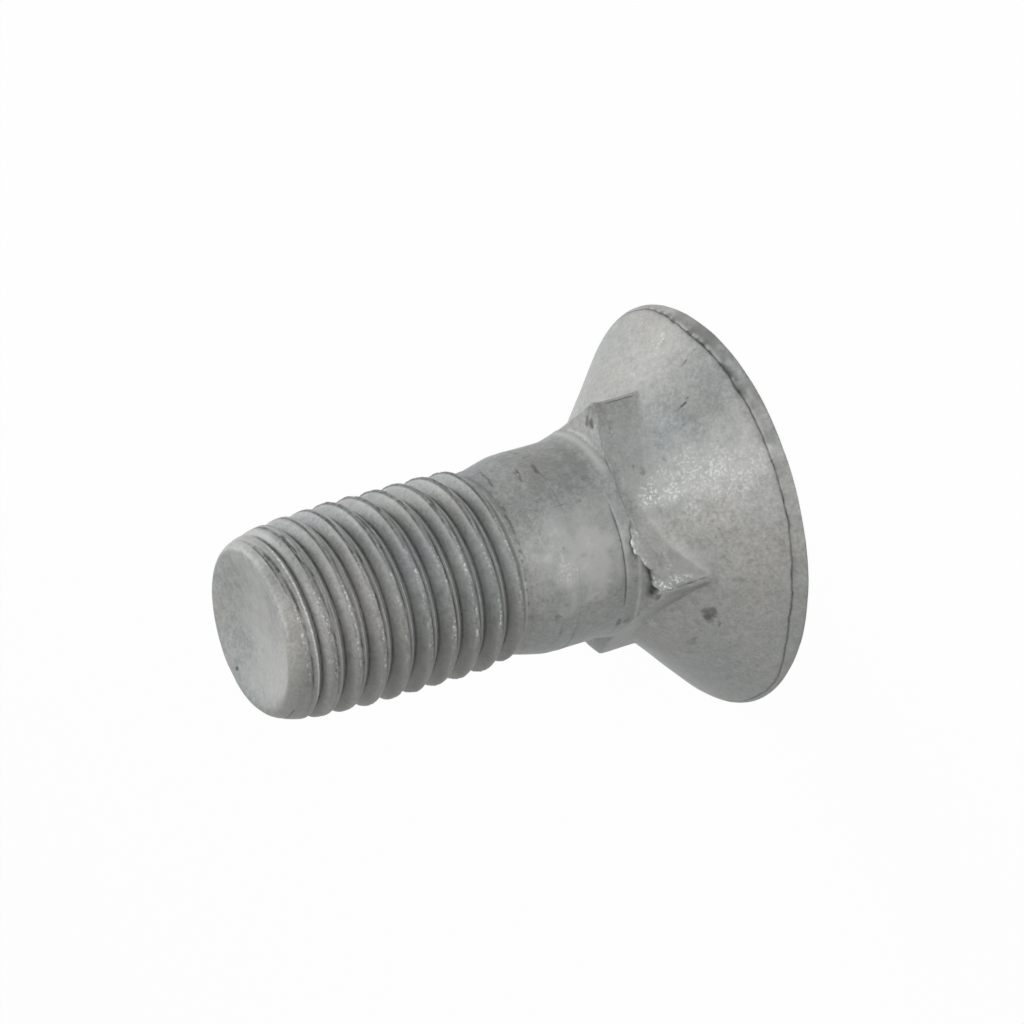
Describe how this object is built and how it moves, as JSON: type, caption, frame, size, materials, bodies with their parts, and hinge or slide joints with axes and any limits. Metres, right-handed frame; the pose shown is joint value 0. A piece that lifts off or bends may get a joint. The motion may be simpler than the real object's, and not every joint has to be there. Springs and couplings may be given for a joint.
{
  "type": "plow bolt",
  "caption": "Flat countersunk head bolt with a short square neck that stops it turning, a plain shank and a right-hand metric thread with a cupped end.",
  "frame": {"origin": "centre of the head's flat face, on which the bolt stands", "axes": "+Z along the bolt's axis from the head to the thread end; +X square to one flat of the neck"},
  "size_m": [0.0326, 0.0326, 0.0398],
  "materials": {
    "galvanised_steel": "hot-dip galvanised, dull grey"
  },
  "bodies": {
    "root": {"plow_bolt": "galvanised_steel"}
  },
  "joints": []
}
